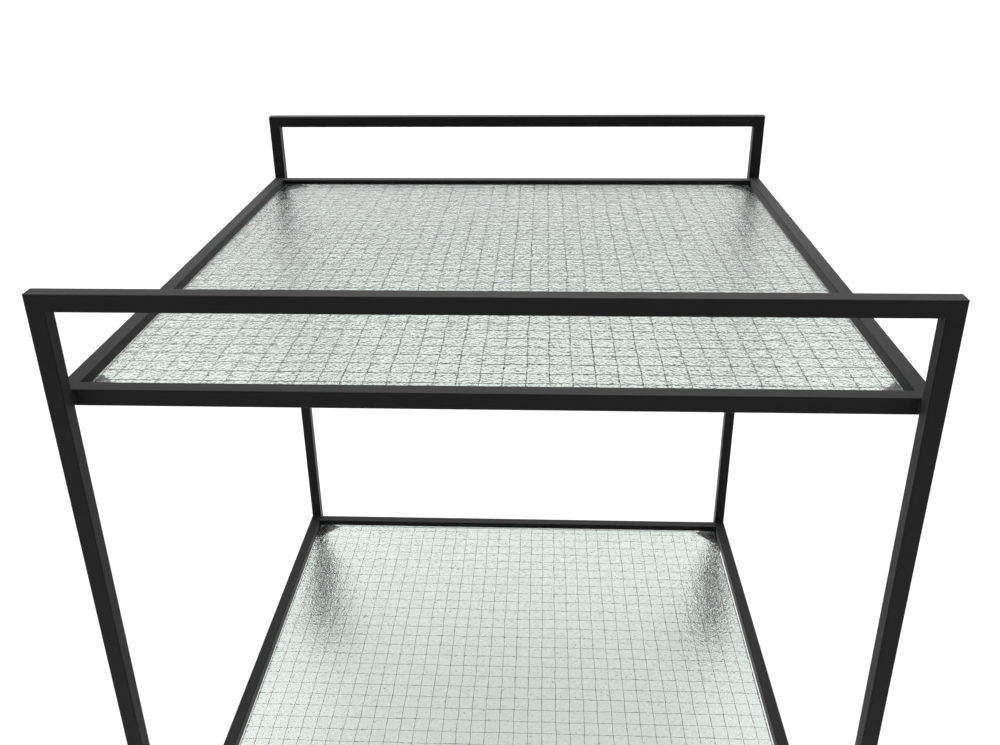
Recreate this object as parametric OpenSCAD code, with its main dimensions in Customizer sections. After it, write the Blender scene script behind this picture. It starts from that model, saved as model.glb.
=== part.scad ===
// Two-tier trolley: two inverted-U end frames, two rectangular shelf frames
// between them, wired-glass panes on corner gussets, and four swivel casters.
// Millimetres, +Z up, origin on the floor below the middle of the trolley.
// X is the width (along the handles), Y is the depth (from handle to handle).

/* [Frame] */
// Overall width of the end frames
frame_w = 480; // [300:1:900]
// Overall depth over both end frames
frame_d = 484; // [300:1:900]
// Outer size of the square tube
tube = 10; // [10:1:20]
// Wall of the square tube
tube_wall = 1; // [0.8:0.1:1]
// Outer corner radius of the square tube
tube_r = 0.8; // [0.3:0.1:1]
// Top of the upper shelf frame to top of the handles
handle_rise = 60; // [30:1:200]
// Top of the lower shelf frame to top of the upper one
shelf_spacing = 405; // [150:1:700]
// Lower end of the legs to underside of the lower shelf frame
leg_drop = 70; // [20:1:200]

/* [Glass] */
// Thickness of the panes
glass_t = 6; // [4:0.5:8]
// Gap between a pane's edge and the rails
glass_gap = 2.5; // [1:0.5:4]
// Thickness of the rest pads below a pane
pad_t = 0.5; // [0.5:0.1:2]
// Diameter of a rest pad
pad_d = 8; // [6:1:12]

/* [Gussets] */
// Thickness of the gusset plates
gusset_t = 2; // [1.5:0.5:4]
// Leg of a gusset beyond the inner faces of the rails
gusset_leg = 24; // [24:1:60]
// Width of a gusset's weld land under a rail
gusset_land = 5; // [3:1:9]

/* [Casters] */
// Wheel diameter
wheel_d = 50; // [40:1:100]
// Tyre width
tyre_w = 18; // [14:1:30]
// Tyre thickness
tyre_t = 5; // [3:0.5:8]
// Distance from swivel axis to wheel axis
trail = 18; // [12:1:40]
// Thickness of the fork plate
fork_t = 2.2; // [1.5:0.1:3]
// Top of the tyre to underside of the fork plate
fork_headroom = 11.8; // [8:0.1:20]
// Radius of the king pin
king_r = 4; // [3:0.5:5]
// Radius of the axle
axle_r = 3; // [2.5:0.5:4]
// Radius of the stem's thread
thread_r = 3; // [2:0.5:3]
// Length of the stem's thread
thread_l = 13; // [8:1:25]
// Outer radius of the upper race cup
cup_r = 18; // [16:0.5:24]

/* [Clearances] */
// Radial clearance of a running fit
run_fit = 0.05; // [0.02:0.01:0.1]
// Axial gap between pieces that turn on each other
side_gap = 0.4; // [0.3:0.1:0.6]
// Gap between tyre and fork cheeks
tyre_gap = 1.5; // [1:0.1:3]

/* [Hidden] */
$fn = 64;
eps = 1;                                   // overrun of a cutting solid
// Caster heights, stacked up from the floor
wheel_r = wheel_d / 2;
fork_under = wheel_d + fork_headroom;      // underside of the fork plate
fork_top = fork_under + fork_t;            // top of the fork plate
race_h = 3.6;                              // height of the fork's race ring
race_top = fork_top + race_h;
cup_t = 3;                                 // thickness of the race cup's top
cup_wall = 2;                              // thickness of the race cup's skirt
cup_under = race_top + side_gap;
cup_top = cup_under + cup_t;
collar_h = 4;                              // height of the stem's hexagon collar
collar_af = 13;                            // width of that hexagon across its flats
leg_end = cup_top + collar_h;
// Caster widths
fork_in = tyre_w + 2 * tyre_gap;           // between the fork's cheeks
fork_out = fork_in + 2 * fork_t;
hub_l = fork_in - 2 * side_gap;            // length of the wheel's hub
hub_r = axle_r + 4;
boss_r = axle_r + 5;                       // rounding of the cheeks at the axle
race_r = cup_r - cup_wall - 1;             // outer radius of the race ring
fork_half = race_r;                        // half length of the fork plate
fork_bend = 4;                             // outer bend radius of the fork
rivet_r = king_r + 2.5;                    // closing head of the king pin
rivet_h = 2;
bolt_af = 10;                              // axle bolt's head and nut, across flats
bolt_head_h = 4;
nut_h = 4.2;
bolt_end = 0.5;                            // thread standing out of the nut
rim_r = wheel_r - tyre_t;
rim_t = 2.6;                               // thickness of the wheel core's rim
rim_w = tyre_w - 2;
web_t = 4;
rib_t = 2;
rib_n = 6;
// Frame heights
lower_top = leg_end + leg_drop + tube;
upper_top = lower_top + shelf_spacing;
handle_top = upper_top + handle_rise;
// Frame plan
shelf_d = frame_d - 2 * tube;              // outer depth of a shelf frame
leg_x = (frame_w - tube) / 2;              // leg axes, also the swivel axes
leg_y = (frame_d - tube) / 2;
tube_in = tube - 2 * tube_wall;
insert_l = thread_l + 2;
pane_w = frame_w - 2 * tube - 2 * glass_gap;
pane_d = shelf_d - 2 * tube - 2 * glass_gap;
// A pad sits on its gusset, where the gusset's inscribed circle is
pad_in = glass_gap + 1 + pad_d / 2;        // pad centre from the rails' inner faces

black = [0.13, 0.13, 0.13];
caster_black = [0.08, 0.08, 0.085];
zinc = [0.62, 0.63, 0.65];
glass_green = [0.78, 0.85, 0.83, 0.5];

// Corners are named by their signs: sx is -1 on the left and 1 on the right,
// sy is -1 at the front and 1 at the rear.

// Square with round corners, centred
module round_square(size, r) {
    square([size - 2 * r, size], center = true);
    square([size, size - 2 * r], center = true);
    for (sx = [-1, 1], sy = [-1, 1])
        translate([sx * (size / 2 - r), sy * (size / 2 - r)]) circle(r);
}

// Square tube along X, from x = 0 to x = l, its section centred on the axis.
// A mitre at either end shortens the +Y side by the tube's size.
module square_tube(l, mitre_start, mitre_end) {
    intersection() {
        rotate([90, 0, 90]) linear_extrude(l) difference() {
            round_square(tube, tube_r);
            square(tube_in, center = true);
        }
        translate([0, 0, -tube]) linear_extrude(2 * tube)
            polygon([[0, -tube / 2], [l, -tube / 2],
                     [l - (mitre_end ? tube : 0), tube / 2],
                     [mitre_start ? tube : 0, tube / 2]]);
    }
}

// Handle bar: the mitred top of an end frame
module handle(sy) {
    color(black)
        translate([-frame_w / 2, sy * leg_y, handle_top - tube / 2])
            rotate([-90, 0, 0]) square_tube(frame_w, true, true);
}

// Leg: mitred at the top into the handle bar
module leg(sx, sy) {
    color(black)
        translate([sx * leg_x, sy * leg_y, leg_end])
            rotate([0, -90, sx < 0 ? 180 : 0]) rotate([90, 0, 0])
                square_tube(handle_top - leg_end, false, true);
}

// Shelf rail along the width, at the front or the rear
module cross_rail(sy, top) {
    color(black)
        translate([0, sy * (shelf_d - tube) / 2, top - tube / 2])
            rotate([0, 0, sy < 0 ? 0 : 180])
                translate([-frame_w / 2, 0, 0]) square_tube(frame_w, true, true);
}

// Shelf rail along the depth, at the left or the right
module side_rail(sx, top) {
    color(black)
        translate([sx * leg_x, 0, top - tube / 2])
            rotate([0, 0, sx < 0 ? -90 : 90])
                translate([-shelf_d / 2, 0, 0]) square_tube(shelf_d, true, true);
}

// Gusset plate under one corner of a shelf frame
module gusset(sx, sy, top) {
    reach = gusset_leg + 2 * gusset_land;
    color(black)
        translate([0, 0, top - tube - gusset_t]) linear_extrude(gusset_t)
            translate([sx * (frame_w / 2 - tube + gusset_land),
                       sy * (shelf_d / 2 - tube + gusset_land)])
                polygon([[0, 0], [-sx * reach, 0], [0, -sy * reach]]);
}

// Pane of a shelf
module pane(top) {
    color(glass_green)
        translate([-pane_w / 2, -pane_d / 2, top - tube + pad_t])
            cube([pane_w, pane_d, glass_t]);
}

// Four rest pads of a shelf
module pads(top) {
    color(zinc)
        for (sx = [-1, 1], sy = [-1, 1])
            translate([sx * (frame_w / 2 - tube - pad_in),
                       sy * (shelf_d / 2 - tube - pad_in), top - tube])
                cylinder(h = pad_t, d = pad_d);
}

// Threaded insert in a leg's lower end
module insert(sx, sy) {
    color(zinc)
        translate([sx * leg_x, sy * leg_y, leg_end]) difference() {
            translate([-tube_in / 2, -tube_in / 2, 0])
                cube([tube_in, tube_in, insert_l]);
            translate([0, 0, -eps])
                cylinder(h = insert_l + 2 * eps, r = thread_r + run_fit);
        }
}

// Puts a caster piece under its leg; at rest each caster trails inwards
module at_caster(sx, sy) {
    translate([sx * leg_x, sy * leg_y, 0])
        rotate([0, 0, sy < 0 ? 0 : 180]) children();
}

// Hexagonal prism by its width across flats
module hexagon(h, across) {
    cylinder(h = h, d = across / cos(30), $fn = 6);
}

// Stem: thread, hexagon collar, king pin and its closing head
module stem() {
    color(zinc) {
        translate([0, 0, leg_end]) cylinder(h = thread_l, r = thread_r);
        translate([0, 0, cup_top]) hexagon(collar_h, collar_af);
        translate([0, 0, fork_under - side_gap])
            cylinder(h = cup_top - fork_under + side_gap, r = king_r);
        translate([0, 0, fork_under - side_gap - rivet_h])
            cylinder(h = rivet_h, r = rivet_r);
    }
}

// Upper race cup: a dished disc with a skirt around the race ring
module cup() {
    shoulder = 2;
    skirt_end = fork_top + side_gap;
    color(caster_black) rotate_extrude() difference() {
        union() {
            translate([0, skirt_end]) square([cup_r, cup_top - shoulder - skirt_end]);
            translate([0, skirt_end]) square([cup_r - shoulder, cup_top - skirt_end]);
            translate([cup_r - shoulder, cup_top - shoulder]) circle(shoulder);
        }
        translate([-eps, skirt_end - eps])
            square([cup_r - cup_wall + eps, cup_under - skirt_end + eps]);
        translate([-eps, skirt_end - eps])
            square([king_r + run_fit + eps, cup_top - skirt_end + 2 * eps]);
        translate([-2 * cup_r, 0]) square([2 * cup_r, cup_top + eps]);
    }
}

// Point where the tangent from p touches the circle of radius r around c
function tangent(p, c, r, side) =
    let (d = p - c, a = atan2(d[1], d[0]) + side * acos(r / norm(d)))
    c + r * [cos(a), sin(a)];

// Fork seen from the side: plate edge at the top, rounded boss at the axle
module cheek_outline() {
    axle = [trail, wheel_r];
    front = [-fork_half, fork_under - 2];
    rear = [fork_half, fork_under - 2];
    translate(axle) circle(boss_r);
    polygon([[-fork_half, fork_top], front, tangent(front, axle, boss_r, 1),
             axle, tangent(rear, axle, boss_r, -1), rear, [fork_half, fork_top]]);
}

// Fork seen from the front: a channel with round bends, open at the bottom
module channel_outline() {
    inner_bend = fork_bend - fork_t;
    difference() {
        union() {
            translate([-fork_out / 2, 0]) square([fork_out, fork_top - fork_bend]);
            translate([-fork_out / 2 + fork_bend, 0])
                square([fork_out - 2 * fork_bend, fork_top]);
            for (sx = [-1, 1])
                translate([sx * (fork_out / 2 - fork_bend), fork_top - fork_bend])
                    circle(fork_bend);
        }
        translate([-fork_in / 2, -eps])
            square([fork_in, fork_under - inner_bend + eps]);
        translate([-fork_in / 2 + inner_bend, -eps])
            square([fork_in - 2 * inner_bend, fork_under + eps]);
        for (sx = [-1, 1])
            translate([sx * (fork_in / 2 - inner_bend), fork_under - inner_bend])
                circle(inner_bend);
    }
}

// Fork with its race ring, king pin bore and axle bores
module fork() {
    color(caster_black) difference() {
        union() {
            intersection() {
                rotate([90, 0, 0]) translate([0, 0, -wheel_d])
                    linear_extrude(2 * wheel_d) channel_outline();
                rotate([90, 0, 90]) translate([0, 0, -fork_out])
                    linear_extrude(2 * fork_out) cheek_outline();
            }
            translate([0, 0, fork_under]) cylinder(h = race_top - fork_under, r = race_r);
        }
        translate([0, 0, fork_under - eps])
            cylinder(h = race_top - fork_under + 2 * eps, r = king_r + run_fit);
        translate([-fork_out, trail, wheel_r]) rotate([0, 90, 0])
            cylinder(h = 2 * fork_out, r = axle_r + run_fit);
    }
}

// Puts a piece that is turned about +Z onto the wheel's axis
module on_axle() {
    translate([0, trail, wheel_r]) rotate([0, 90, 0]) children();
}

// Wheel core: hub, web, ribs and rim
module wheel() {
    color(caster_black) on_axle() difference() {
        union() {
            cylinder(h = hub_l, r = hub_r, center = true);
            cylinder(h = web_t, r = rim_r - rim_t / 2, center = true);
            difference() {
                cylinder(h = rim_w, r = rim_r, center = true);
                cylinder(h = rim_w + 2 * eps, r = rim_r - rim_t, center = true);
            }
            for (i = [0 : rib_n - 1])
                rotate([0, 0, i * 360 / rib_n])
                    translate([hub_r - 1, -rib_t / 2, -rim_w / 2 + 1])
                        cube([rim_r - rim_t - hub_r + 1.5, rib_t, rim_w - 2]);
        }
        cylinder(h = hub_l + 2 * eps, r = axle_r + run_fit, center = true);
    }
}

// Tyre with rounded shoulders
module tyre() {
    shoulder = 3;
    color(caster_black) on_axle() rotate_extrude() difference() {
        union() {
            translate([0, -tyre_w / 2]) square([wheel_r - shoulder, tyre_w]);
            translate([0, -tyre_w / 2 + shoulder]) square([wheel_r, tyre_w - 2 * shoulder]);
            for (side = [-1, 1])
                translate([wheel_r - shoulder, side * (tyre_w / 2 - shoulder)])
                    circle(shoulder);
        }
        translate([-eps, -tyre_w]) square([rim_r + eps, 2 * tyre_w]);
    }
}

// Axle bolt: hexagon head outside one cheek, shank through both
module axle() {
    shank = fork_out + nut_h + bolt_end;
    color(zinc) on_axle() {
        translate([0, 0, fork_out / 2]) hexagon(bolt_head_h, bolt_af);
        translate([0, 0, fork_out / 2 - shank]) cylinder(h = shank, r = axle_r);
    }
}

// Axle nut outside the other cheek
module nut() {
    color(zinc) on_axle() translate([0, 0, -fork_out / 2 - nut_h]) difference() {
        hexagon(nut_h, bolt_af);
        translate([0, 0, -eps]) cylinder(h = nut_h + 2 * eps, r = axle_r + run_fit);
    }
}

handle(-1);  // front_handle
handle(1);  // rear_handle
leg(-1, -1);  // leg_fl
leg(1, -1);  // leg_fr
leg(-1, 1);  // leg_rl
leg(1, 1);  // leg_rr
cross_rail(-1, upper_top);  // upper_rail_front
cross_rail(1, upper_top);  // upper_rail_rear
side_rail(-1, upper_top);  // upper_rail_left
side_rail(1, upper_top);  // upper_rail_right
cross_rail(-1, lower_top);  // lower_rail_front
cross_rail(1, lower_top);  // lower_rail_rear
side_rail(-1, lower_top);  // lower_rail_left
side_rail(1, lower_top);  // lower_rail_right
gusset(-1, -1, upper_top);  // upper_gusset_fl
gusset(1, -1, upper_top);  // upper_gusset_fr
gusset(-1, 1, upper_top);  // upper_gusset_rl
gusset(1, 1, upper_top);  // upper_gusset_rr
gusset(-1, -1, lower_top);  // lower_gusset_fl
gusset(1, -1, lower_top);  // lower_gusset_fr
gusset(-1, 1, lower_top);  // lower_gusset_rl
gusset(1, 1, lower_top);  // lower_gusset_rr
pane(upper_top);  // upper_glass
pane(lower_top);  // lower_glass
pads(upper_top);  // upper_pads
pads(lower_top);  // lower_pads
insert(-1, -1);  // insert_fl
insert(1, -1);  // insert_fr
insert(-1, 1);  // insert_rl
insert(1, 1);  // insert_rr
at_caster(-1, -1) stem();  // stem_fl
at_caster(1, -1) stem();  // stem_fr
at_caster(-1, 1) stem();  // stem_rl
at_caster(1, 1) stem();  // stem_rr
at_caster(-1, -1) cup();  // cup_fl
at_caster(1, -1) cup();  // cup_fr
at_caster(-1, 1) cup();  // cup_rl
at_caster(1, 1) cup();  // cup_rr
at_caster(-1, -1) fork();  // fork_fl
at_caster(1, -1) fork();  // fork_fr
at_caster(-1, 1) fork();  // fork_rl
at_caster(1, 1) fork();  // fork_rr
at_caster(-1, -1) wheel();  // wheel_fl
at_caster(1, -1) wheel();  // wheel_fr
at_caster(-1, 1) wheel();  // wheel_rl
at_caster(1, 1) wheel();  // wheel_rr
at_caster(-1, -1) tyre();  // tyre_fl
at_caster(1, -1) tyre();  // tyre_fr
at_caster(-1, 1) tyre();  // tyre_rl
at_caster(1, 1) tyre();  // tyre_rr
at_caster(-1, -1) axle();  // axle_fl
at_caster(1, -1) axle();  // axle_fr
at_caster(-1, 1) axle();  // axle_rl
at_caster(1, 1) axle();  // axle_rr
at_caster(-1, -1) nut();  // nut_fl
at_caster(1, -1) nut();  // nut_fr
at_caster(-1, 1) nut();  // nut_rl
at_caster(1, 1) nut();  // nut_rr
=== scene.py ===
import math

import bpy
from mathutils import Matrix, Vector


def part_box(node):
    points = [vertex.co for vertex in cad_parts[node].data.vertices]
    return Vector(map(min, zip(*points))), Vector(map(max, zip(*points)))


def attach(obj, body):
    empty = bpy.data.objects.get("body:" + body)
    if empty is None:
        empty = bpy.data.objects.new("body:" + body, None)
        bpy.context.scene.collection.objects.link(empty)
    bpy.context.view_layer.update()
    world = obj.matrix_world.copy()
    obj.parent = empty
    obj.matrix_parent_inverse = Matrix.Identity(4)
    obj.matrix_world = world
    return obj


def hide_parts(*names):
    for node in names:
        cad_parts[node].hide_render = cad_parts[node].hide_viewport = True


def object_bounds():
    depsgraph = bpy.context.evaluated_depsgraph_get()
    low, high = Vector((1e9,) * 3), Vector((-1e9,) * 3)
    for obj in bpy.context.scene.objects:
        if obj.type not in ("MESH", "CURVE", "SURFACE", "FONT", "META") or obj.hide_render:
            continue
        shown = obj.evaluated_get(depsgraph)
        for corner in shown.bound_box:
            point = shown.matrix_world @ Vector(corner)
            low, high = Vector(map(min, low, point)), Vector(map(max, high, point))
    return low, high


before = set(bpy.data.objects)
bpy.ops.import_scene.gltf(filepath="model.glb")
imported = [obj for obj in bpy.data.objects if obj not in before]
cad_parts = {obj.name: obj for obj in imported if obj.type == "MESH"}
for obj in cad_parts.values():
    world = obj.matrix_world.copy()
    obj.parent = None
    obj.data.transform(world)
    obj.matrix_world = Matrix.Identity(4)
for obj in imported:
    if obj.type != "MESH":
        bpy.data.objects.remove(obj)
cad_low, cad_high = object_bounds()
scene = bpy.context.scene

# Camera. It stands at the front handle, a little above it and to the right of its middle, and
# looks down over both shelves with a moderate wide-angle lens.
SENSOR = 36                      # mm wide
LENS = 33.8                      # mm
SHIFT = (-0.0032, -0.034)        # of the sensor's width
EYE = Vector((0.0286, -0.4404, 0.1746))      # from the middle of the front handle's front top edge
PITCH, YAW, ROLL = 24.089, 2.603, 0.599      # degrees down, to the left and clockwise
handle_low, handle_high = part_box("front_handle")
grip = Vector((0, handle_low.y, handle_high.z))
camera_data = bpy.data.cameras.new("camera")
camera_data.sensor_width = SENSOR
camera_data.lens = LENS
camera_data.shift_x, camera_data.shift_y = SHIFT
camera = bpy.data.objects.new("camera", camera_data)
scene.collection.objects.link(camera)
camera.matrix_world = (
    Matrix.Translation(grip + EYE)
    @ Matrix.Rotation(math.radians(YAW), 4, "Z")
    @ Matrix.Rotation(math.radians(90 - PITCH), 4, "X")
    @ Matrix.Rotation(math.radians(-ROLL), 4, "Z")
)
scene.camera = camera
scene.view_settings.view_transform = "Standard"

# Studio. A seamless white sweep under one very large soft light, inside a pale tent that is
# brightest low down behind the trolley and darkest on the side where the camera stands.
SWEEP_SIDE = 14                  # m
TENT_WHITE = 1.05                # the tent's own brightness where it is the background


class Value:
    """The output of a node in a material. Sums written on it add Math nodes."""

    def __init__(self, surface, socket):
        self.surface = surface
        self.socket = socket

    def sum(self, operation, first, second):
        return self.surface.node("ShaderNodeMath", {"operation": operation}, {0: first, 1: second})

    def __add__(self, other):
        return self.sum("ADD", self, other)

    def __radd__(self, other):
        return self.sum("ADD", other, self)

    def __rsub__(self, other):
        return self.sum("SUBTRACT", other, self)

    def __mul__(self, other):
        return self.sum("MULTIPLY", self, other)

    def __rmul__(self, other):
        return self.sum("MULTIPLY", other, self)


class Surface:
    """A material, or the world, built node by node."""

    def __init__(self, owner):
        owner.use_nodes = True
        self.owner = owner
        self.tree = owner.node_tree
        self.tree.nodes.clear()

    def node(self, kind, settings=None, inputs=None, output=0):
        made = self.tree.nodes.new(kind)
        for name, value in (settings or {}).items():
            setattr(made, name, value)
        for name, value in (inputs or {}).items():
            if isinstance(value, Value):
                self.tree.links.new(value.socket, made.inputs[name])
            else:
                made.inputs[name].default_value = value
        return Value(self, made.outputs[output])

    def noise(self, scale, detail=2.0, stretch=None):
        """Noise from 0 to 1 on the piece's own coordinates, scale lumps to a metre."""
        place = self.node("ShaderNodeTexCoord", output="Object")
        if stretch:
            place = self.node("ShaderNodeMapping", inputs={"Vector": place, "Scale": stretch})
        return self.node("ShaderNodeTexNoise", inputs={"Vector": place, "Scale": scale, "Detail": detail})

    def between(self, mask, low, high):
        """The colour low where mask is 0 and high where it is 1."""
        return self.node("ShaderNodeMix", {"data_type": "RGBA"},
                         {0: mask, 6: (*low, 1), 7: (*high, 1)}, output=2)

    def fade(self, value, start, stop, low, high):
        """Goes smoothly from low, where value is at start, to high, where it is at stop."""
        return self.node("ShaderNodeMapRange", {"interpolation_type": "SMOOTHSTEP"},
                         {"Value": value, "From Min": start, "From Max": stop, "To Min": low, "To Max": high})

    def bump(self, height, depth, strength=1.0):
        return self.node("ShaderNodeBump", inputs={"Height": height, "Distance": depth, "Strength": strength})

    def principled(self, **inputs):
        names = {name.replace("_", " "): value for name, value in inputs.items()}
        return self.node("ShaderNodeBsdfPrincipled", inputs=names)

    def end_in(self, shader, kind="ShaderNodeOutputMaterial"):
        end = self.tree.nodes.new(kind)
        self.tree.links.new(shader.socket, end.inputs["Surface"])

    def finish(self, **inputs):
        """Ends the material in one Principled shader."""
        self.end_in(self.principled(**inputs))


def sun(name, spread, power, tilt):
    """A soft light from far away, so many degrees wide and tilted from straight above."""
    data = bpy.data.lights.new(name, "SUN")
    data.angle = math.radians(spread)
    data.energy = power
    lamp = bpy.data.objects.new(name, data)
    scene.collection.objects.link(lamp)
    lamp.rotation_euler.x = math.radians(tilt)
    return lamp


bpy.ops.object.select_all(action="DESELECT")
bpy.ops.mesh.primitive_plane_add(size=SWEEP_SIDE, location=(0, 0, cad_low.z))
floor = bpy.context.object
floor.name = "floor"
sweep = Surface(bpy.data.materials.new("white_sweep"))
sweep.finish(Base_Color=(0.9, 0.9, 0.9, 1), Roughness=0.9, Specular_IOR_Level=0.0,
             Emission_Color=(1, 1, 1, 1), Emission_Strength=0.05)
floor.data.materials.append(sweep.owner)

scene.world = bpy.data.worlds.new("tent")
tent = Surface(scene.world)
seen = tent.node("ShaderNodeLightPath", output="Is Camera Ray")
direction = tent.node("ShaderNodeTexCoord", output="Generated")
across, depth, rise = [tent.node("ShaderNodeSeparateXYZ", inputs={0: direction}, output=axis)
                       for axis in "XYZ"]
front_to_back = tent.fade(depth, -0.9, 0.35, 0.35, 1.0)
low_wall = tent.fade(rise, 0.12, 0.5, 1.2, 0.25)
flanks = tent.fade(across * across, 0.006, 0.09, 0.0, 1.0)
high_wall = tent.fade(rise, 0.42, 0.68, 0.0, 1.0)
back_wall = tent.fade(depth, 0.0, 0.3, 0.0, 2.4)
strength = (front_to_back * low_wall + flanks * high_wall * back_wall) * (1 - seen) + seen * TENT_WHITE
tent.end_in(tent.node("ShaderNodeBackground", inputs={"Color": (1, 1, 1, 1), "Strength": strength}),
            "ShaderNodeOutputWorld")
sun("overhead", spread=60, power=1.99, tilt=16)

# Powder-coated steel. The tubes, corner plates and welds are sprayed with one matt black
# powder, which melts to a fine orange-peel skin and picks up a little sheen at a low angle.
coat = Surface(bpy.data.materials.new("powder_black"))
grain = coat.noise(2600, 1.5)
peel = coat.noise(420, 1.0)
patchy = coat.noise(18, 3.0)
coat.finish(
    Base_Color=coat.between(patchy, (0.0042, 0.0042, 0.0045), (0.0068, 0.0068, 0.0065)),
    Roughness=0.56 + 0.12 * grain,
    Specular_IOR_Level=0.14,
    Sheen_Weight=0.25,
    Sheen_Roughness=0.3,
    Normal=coat.bump(grain * 0.7 + peel, 0.00012, 0.5),
)
STEELWORK = [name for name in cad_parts
             if name.startswith("leg_") or "handle" in name or "rail" in name or "gusset" in name]


def paint(material, nodes):
    """Gives CAD nodes a material."""
    for name in nodes:
        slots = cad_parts[name].data.materials
        slots.clear()
        slots.append(material)


paint(coat.owner, STEELWORK)

# Back light. A narrower light from behind the sweep rakes over the black steel only, and picks
# out the tops of the tubes.
rake = sun("back_light", spread=25, power=1.3, tilt=-50)
raked = bpy.data.collections.new("steelwork")
for name in STEELWORK:
    raked.objects.link(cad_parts[name])
rake.light_linking.receiver_collection = raked

# Weld beads. Each shelf frame is welded to the four legs by short fillets: one on top, one
# below and one up the leg's inner side, laid as a row of overlapping ripples.
BEAD_RADIUS = 0.0013
BEAD_SIDES = 10
BEAD_END_GAP = 0.0006            # a bead stops this far short of the tube's edges
RIPPLES = 7
RIPPLE_CUTS = 4                  # rings of points to a ripple
RIPPLE_DEPTH = 0.14              # of the radius
BEAD_TIP = 0.45                  # of the radius, where a bead starts and stops
BEAD_SWELL = 3                   # how fast it grows to its full radius


def start(name, add, **places):
    """A new primitive, alone in the selection, with its place and turn in its mesh."""
    bpy.ops.object.select_all(action="DESELECT")
    add(**places)
    piece = bpy.context.object
    piece.name = piece.data.name = name
    bpy.ops.object.transform_apply(location=True, rotation=True, scale=True)
    return piece


def cut_across(bar, axis, length, cuts):
    """Cuts a bar across, by points on the edges that run its whole length along axis."""
    points = bar.data.vertices
    for items in (bar.data.polygons, bar.data.edges, points):
        for item in items:
            item.select = False
    for edge in bar.data.edges:
        first, last = edge.vertices
        edge.select = abs(points[first].co[axis] - points[last].co[axis]) > 0.5 * length
    bpy.ops.object.mode_set(mode="EDIT")
    bpy.ops.mesh.select_mode(type="EDGE")
    bpy.ops.mesh.subdivide(number_cuts=cuts)
    bpy.ops.object.mode_set(mode="OBJECT")


def join(name, pieces):
    """Joins pieces into one object of that name."""
    bpy.ops.object.select_all(action="DESELECT")
    for piece in pieces:
        piece.select_set(True)
    bpy.context.view_layer.objects.active = pieces[0]
    bpy.ops.object.join()
    bpy.context.object.name = bpy.context.object.data.name = name
    return bpy.context.object


def bead(middle, axis, length):
    """One weld bead about a point, along X (axis 0) or Z (axis 2)."""
    turn = (0, math.pi / 2, 0) if axis == 0 else (0, 0, 0)
    piece = start("bead", bpy.ops.mesh.primitive_cylinder_add, vertices=BEAD_SIDES, radius=BEAD_RADIUS,
                  depth=length, location=middle, rotation=turn)
    cut_across(piece, axis, length, RIPPLE_CUTS * RIPPLES)
    for vertex in piece.data.vertices:
        place = (vertex.co[axis] - middle[axis]) / length + 0.5
        ripple = 1 - RIPPLE_DEPTH + RIPPLE_DEPTH * abs(math.sin(place * RIPPLES * math.pi))
        taper = min(1, BEAD_TIP + BEAD_SWELL * min(place, 1 - place))
        for other in {0, 1, 2} - {axis}:
            vertex.co[other] = middle[other] + (vertex.co[other] - middle[other]) * ripple * taper
    bpy.ops.object.shade_smooth_by_angle(angle=math.radians(50))
    return piece


def weld_beads(level):
    beads = []
    for corner, side, end in (("fl", -1, -1), ("fr", 1, -1), ("rl", -1, 1), ("rr", 1, 1)):
        leg_low, leg_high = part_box(f"leg_{corner}")
        rail_low, rail_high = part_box(f"{level}_rail_{'front' if end < 0 else 'rear'}")
        middle_x = (leg_low.x + leg_high.x) / 2
        seam_y = leg_high.y if end < 0 else leg_low.y
        inner_x = leg_high.x if side < 0 else leg_low.x
        width = leg_high.x - leg_low.x - 2 * BEAD_END_GAP
        for height in (rail_high.z, rail_low.z):
            beads.append(bead(Vector((middle_x, seam_y, height)), 0, width))
        beads.append(bead(Vector((inner_x, seam_y, (rail_low.z + rail_high.z) / 2)), 2, width))
    piece = join(f"{level}_weld_beads", beads)
    piece.data.materials.append(coat.owner)
    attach(piece, "root")


weld_beads("upper")
weld_beads("lower")

# Wire mesh. A grid of thin steel wires, drawn slightly wavy, is rolled into the middle of the
# hot glass. Its cells are a little longer one way, and the two panes are cut a quarter turn apart.
THICK = {"upper": 0.00038, "lower": 0.00022}      # radii of the two sets of wires
THIN = {"upper": 0.00027, "lower": 0.00018}
CLOSE, WIDE = 0.01235, 0.0132    # from wire to wire in the thick set and in the thin set
WIRE_INSET = 0.0002              # wire ends stop just short of the cut edge
WIRE_SIDES = 6
WIRE_CUTS = 90
WAVE_SIZE = 0.022
WAVE_HEIGHT = 0.0016
wire_steel = Surface(bpy.data.materials.new("wire_steel"))
rust = wire_steel.noise(160, 2.0)
wire_steel.finish(
    Base_Color=wire_steel.between(rust, (0.045, 0.05, 0.054), (0.082, 0.088, 0.092)),
    Metallic=0.6,
    Roughness=0.45 + 0.2 * rust,
)
wander = bpy.data.textures.new("wander", "CLOUDS")
wander.noise_scale = WAVE_SIZE
wander.noise_depth = 1


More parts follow.
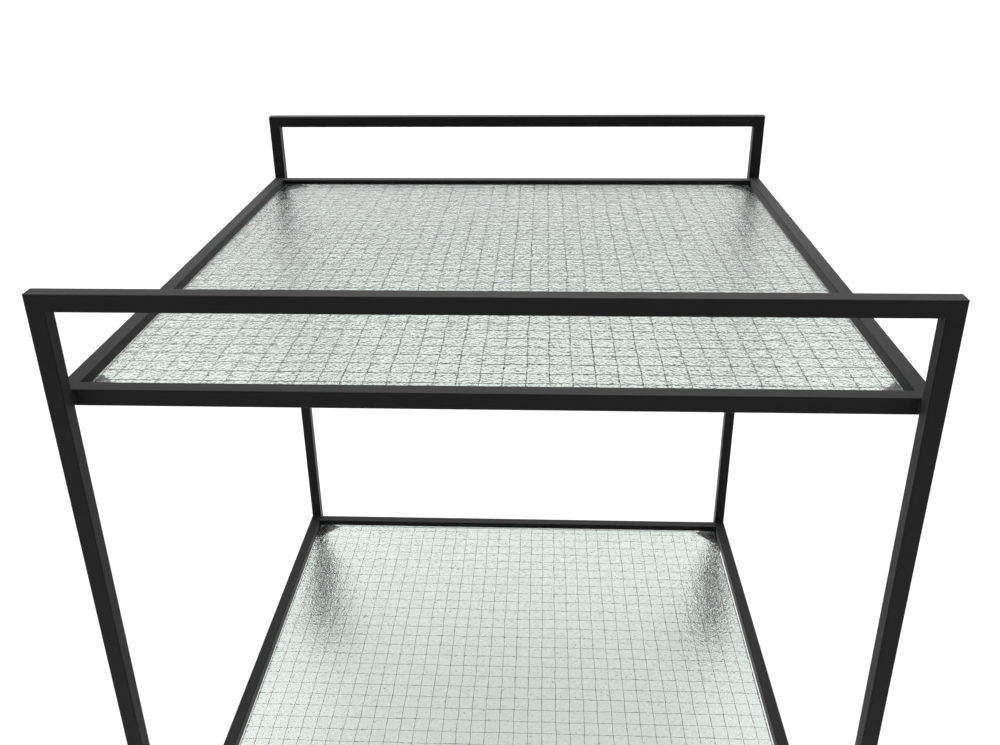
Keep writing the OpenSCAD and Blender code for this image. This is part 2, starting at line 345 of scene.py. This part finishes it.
def wire_row(low, high, axis, cell, radius, layer):
    """Parallel wires along X (axis 0) or Y (axis 1), one cell apart, across the pane."""
    other = 1 - axis
    length = high[axis] - low[axis] - 2 * WIRE_INSET
    count = int((high[other] - low[other]) / cell)
    first = (low + high) / 2
    first[other] -= (count - 1) * cell / 2
    first.z += layer
    turn = (0, math.pi / 2, 0) if axis == 0 else (math.pi / 2, 0, 0)
    row = start("wires", bpy.ops.mesh.primitive_cylinder_add, vertices=WIRE_SIDES, radius=radius,
                depth=length, location=first, rotation=turn)
    cut_across(row, axis, length, WIRE_CUTS)
    array = row.modifiers.new("cells", "ARRAY")
    array.use_relative_offset = False
    array.use_constant_offset = True
    array.constant_offset_displace = [cell if i == other else 0 for i in range(3)]
    array.count = count
    bpy.ops.object.modifier_apply(modifier="cells")
    wave = row.modifiers.new("wave", "DISPLACE")
    wave.texture = wander
    wave.texture_coords = "LOCAL"
    wave.direction = "XY"[other]
    wave.mid_level = 0.5
    wave.strength = WAVE_HEIGHT
    bpy.ops.object.modifier_apply(modifier="wave")
    bpy.ops.object.shade_smooth()
    return row


def wire_mesh(level, thick_axis):
    low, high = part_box(f"{level}_glass")
    thick, thin = THICK[level], THIN[level]
    rows = [wire_row(low, high, thick_axis, CLOSE, thick, thin),
            wire_row(low, high, 1 - thick_axis, WIDE, thin, -thick)]
    piece = join(f"{level}_wire_mesh", rows)
    piece.data.materials.clear()
    piece.data.materials.append(wire_steel.owner)
    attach(piece, "root")


wire_mesh("upper", 0)
wire_mesh("lower", 1)

# Panes. Wired cast glass 6 mm thick, pale grey-green. The upper face keeps the fine pebbled
# skin of the patterned roller, and the cut edges are ground with a small arris.
ARRIS = 0.0004
CAST_CELL = 0.00147              # from point to point of the cast face
CAST_LUMP = 0.0042               # size of the roller's lumps
CAST_DEPTH = {"upper": 0.00016, "lower": 0.0001}
glass = Surface(bpy.data.materials.new("wired_glass"))
pebble = glass.noise(560, 1.5)
swell = glass.noise(170, 1.0)
tint = glass.noise(9, 2.0)
body = glass.principled(
    Base_Color=glass.between(tint, (0.708, 0.78, 0.741), (0.748, 0.812, 0.773)),
    Roughness=0.07,
    IOR=1.52,
    Transmission_Weight=1.0,
    Normal=glass.bump(pebble + 0.5 * swell, 0.00044, 1.0),
)
# Diffuse light and shadows go straight through the glass, and are only a little dimmed.
straight = glass.node("ShaderNodeBsdfTransparent", inputs={"Color": (0.915, 0.922, 0.924, 1)})
for ray in ("Is Diffuse Ray", "Is Shadow Ray"):
    path = glass.node("ShaderNodeLightPath", output=ray)
    body = glass.node("ShaderNodeMixShader", inputs={0: path, 1: body, 2: straight})
glass.end_in(body)
cast = bpy.data.textures.new("cast", "CLOUDS")
cast.noise_scale = CAST_LUMP
cast.noise_depth = 1


def cast_pane(level):
    low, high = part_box(f"{level}_glass")
    size = high - low
    middle = (low + high) / 2
    inner_x, inner_y = size.x - 2 * ARRIS, size.y - 2 * ARRIS
    bpy.ops.object.select_all(action="DESELECT")
    bpy.ops.mesh.primitive_grid_add(
        x_subdivisions=round(size.x / CAST_CELL), y_subdivisions=round(size.y / CAST_CELL), size=1,
        location=(middle.x, middle.y, high.z))
    pane = bpy.context.object
    pane.name = pane.data.name = f"{level}_pane"
    pane.scale = (inner_x, inner_y, 1)
    bpy.ops.object.transform_apply(location=True, rotation=True, scale=True)
    skin = pane.modifiers.new("skin", "DISPLACE")
    skin.texture = cast
    skin.texture_coords = "LOCAL"
    skin.direction = "Z"
    skin.mid_level = 1.0
    skin.strength = CAST_DEPTH[level]
    bpy.ops.object.modifier_apply(modifier="skin")
    # The rim is drawn out to the full size, down the sides, in for the lower arris and across.
    bpy.ops.object.mode_set(mode="EDIT")
    bpy.ops.mesh.select_mode(type="EDGE")
    bpy.ops.mesh.select_all(action="DESELECT")
    bpy.ops.mesh.select_non_manifold()
    outward = (size.x / inner_x, size.y / inner_y, 0)
    down = (1, 1, 0)
    inward = (inner_x / size.x, inner_y / size.y, 0)
    shoulder = high.z - CAST_DEPTH[level] - ARRIS
    for height, scale in ((shoulder, outward), (low.z + ARRIS, down), (low.z, inward)):
        bpy.ops.mesh.extrude_region_move(TRANSFORM_OT_translate={"value": (0, 0, 0)})
        bpy.ops.transform.resize(value=scale, center_override=(middle.x, middle.y, height))
    bpy.ops.mesh.edge_face_add()
    bpy.ops.mesh.select_all(action="SELECT")
    bpy.ops.mesh.normals_make_consistent(inside=False)
    bpy.ops.object.mode_set(mode="OBJECT")
    bpy.ops.object.shade_smooth_by_angle(angle=math.radians(35))
    pane.data.materials.append(glass.owner)
    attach(pane, "root")
    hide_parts(f"{level}_glass")


cast_pane("upper")
cast_pane("lower")

# Rest pads. Clear soft discs, moulded and stuck on each corner plate, on which the glass lies
# without touching the steel.
pad_skin = Surface(bpy.data.materials.new("clear_pad"))
pad_skin.finish(
    Base_Color=pad_skin.between(pad_skin.noise(300), (0.78, 0.8, 0.78), (0.88, 0.9, 0.88)),
    Roughness=0.12,
    Transmission_Weight=1.0,
    IOR=1.45,
)
paint(pad_skin.owner, ["upper_pads", "lower_pads"])

# Zinc-plated steel: the stems, the axle bolts and nuts, and the inserts in the leg ends,
# turned or cold-formed and then plated, with fine turning marks.
CORNERS = ("fl", "fr", "rl", "rr")
zinc = Surface(bpy.data.materials.new("zinc_steel"))
stain = zinc.noise(220, 3.0)
marks = zinc.noise(900, 1.0, (1, 1, 6))
zinc.finish(
    Base_Color=zinc.between(stain, (0.48, 0.49, 0.51), (0.6, 0.6, 0.6)),
    Metallic=1.0,
    Roughness=0.26 + 0.14 * stain,
    Normal=zinc.bump(marks, 0.00004, 0.5),
)
paint(zinc.owner, [f"{part}_{corner}" for part in ("stem", "axle", "nut", "insert") for corner in CORNERS])

# Caster steel. The race cups and the forks are pressed from sheet steel and painted a satin
# black. A cup is clamped under the stem's collar, and the fork turns below it on the king pin.
enamel = Surface(bpy.data.materials.new("caster_black"))
flow = enamel.noise(700, 1.0)
enamel.finish(
    Base_Color=enamel.between(enamel.noise(60, 3.0), (0.010, 0.010, 0.011), (0.017, 0.017, 0.018)),
    Roughness=0.34 + 0.12 * flow,
    Normal=enamel.bump(flow, 0.00006, 0.4),
)
paint(enamel.owner, [f"{part}_{corner}" for part in ("cup", "fork") for corner in CORNERS])

# Wheel cores. Each is moulded in black nylon in one piece, hub, web, ribs and rim, and its
# mould faces are spark-eroded to a fine matt grain. It turns on the axle bolt.
nylon = Surface(bpy.data.materials.new("wheel_plastic"))
sparked = nylon.noise(1500, 2.0)
nylon.finish(
    Base_Color=nylon.between(nylon.noise(90, 2.0), (0.016, 0.016, 0.017), (0.024, 0.024, 0.025)),
    Roughness=0.45 + 0.15 * sparked,
    Normal=nylon.bump(sparked, 0.00005, 0.5),
)
paint(nylon.owner, [f"wheel_{corner}" for corner in CORNERS])

# Tyres. A ring of matt black rubber is moulded on round each core, dulled by a little dust.
rubber = Surface(bpy.data.materials.new("tyre_rubber"))
dust = rubber.noise(130, 4.0)
pores = rubber.noise(1800, 2.0)
rubber.finish(
    Base_Color=rubber.between(dust, (0.014, 0.014, 0.014), (0.034, 0.033, 0.032)),
    Roughness=0.7 + 0.2 * dust,
    Normal=rubber.bump(pores, 0.00008, 0.6),
)
paint(rubber.owner, [f"tyre_{corner}" for corner in CORNERS])
